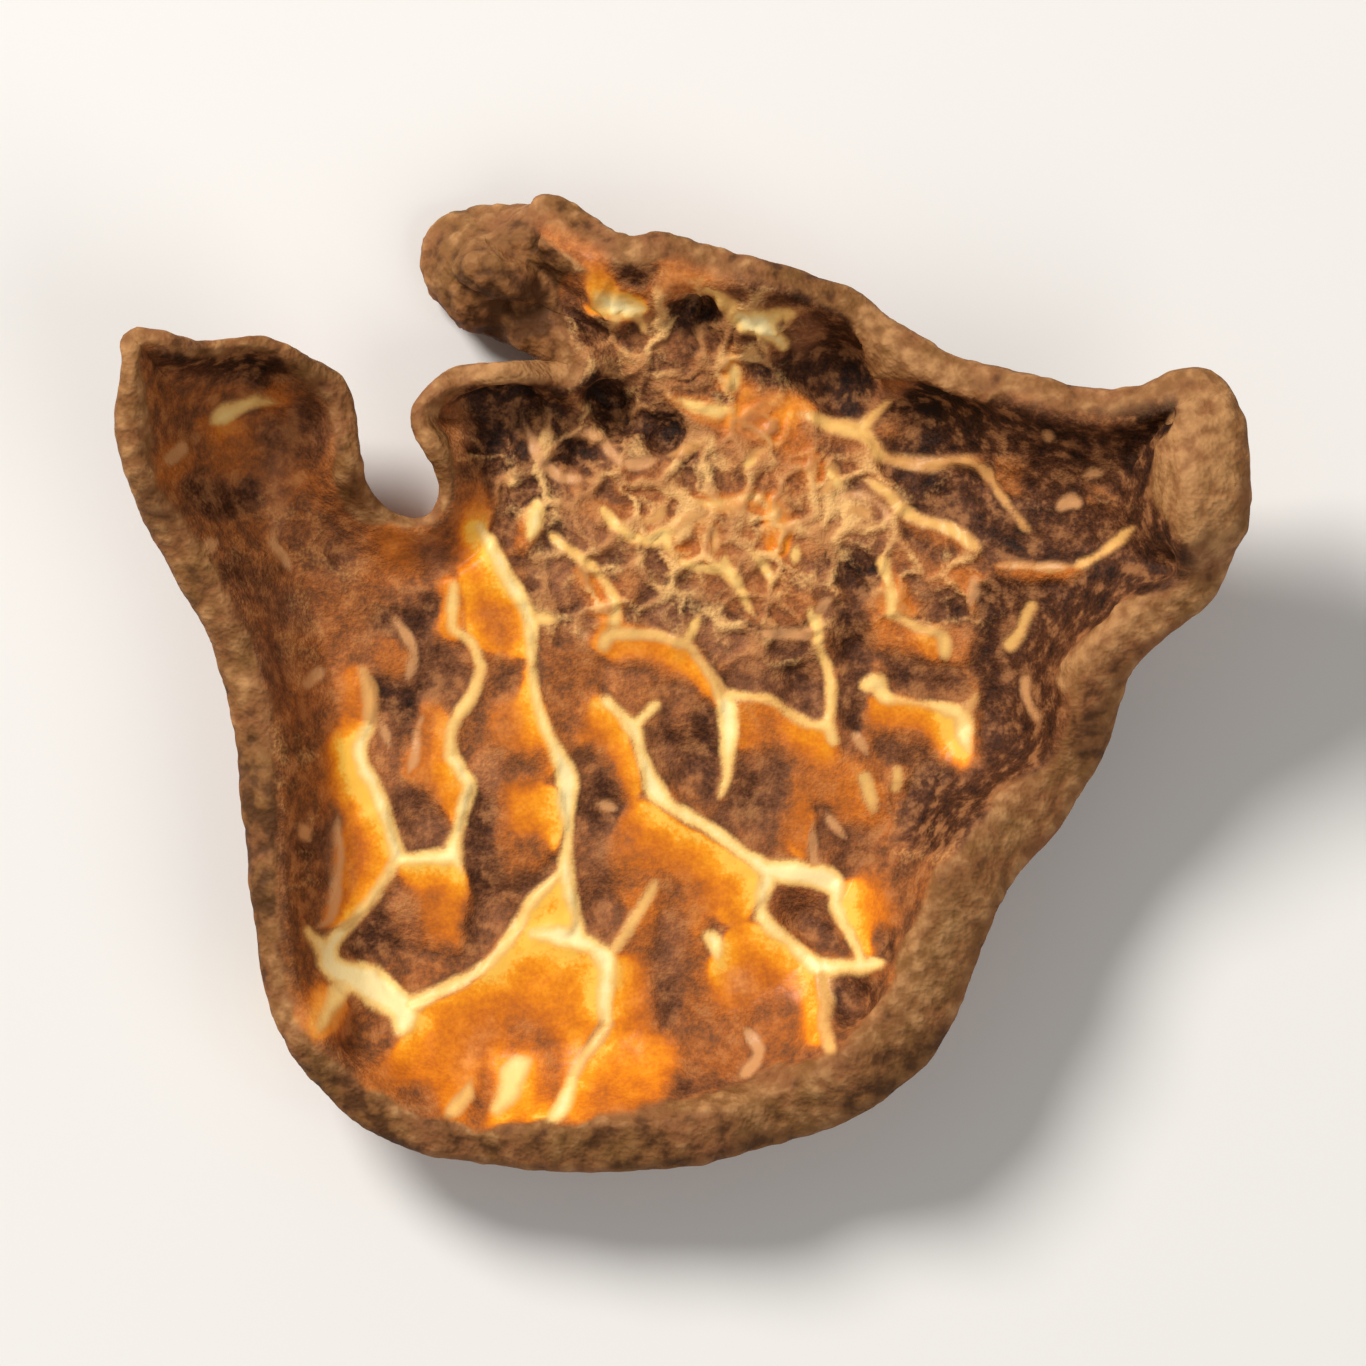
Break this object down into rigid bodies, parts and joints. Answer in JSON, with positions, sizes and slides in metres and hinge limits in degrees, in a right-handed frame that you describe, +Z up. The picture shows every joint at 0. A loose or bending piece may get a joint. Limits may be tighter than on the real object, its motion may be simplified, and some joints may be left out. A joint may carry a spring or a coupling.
{
  "type": "dried truffle slice",
  "caption": "Thin dried slice of black truffle, cupped as it dried: a marbled cut face inside a curled brown skin edge, with a horn and a notch on one side and a wing on the other.",
  "frame": {"origin": "centre of the bounding box, on the plane that the slice rests on", "axes": "+X from the horn to the wing, across the slice's longest extent; +Y towards the edge with the notch; +Z up, away from the resting face, across its shortest extent"},
  "size_m": [0.0258, 0.0224, 0.0066],
  "materials": {
    "dried_truffle": "dry brown truffle flesh, marbled amber and dark brown with cream veins, inside a granular grey-brown skin edge"
  },
  "bodies": {
    "root": {"truffle_slice": "dried_truffle"}
  },
  "joints": []
}
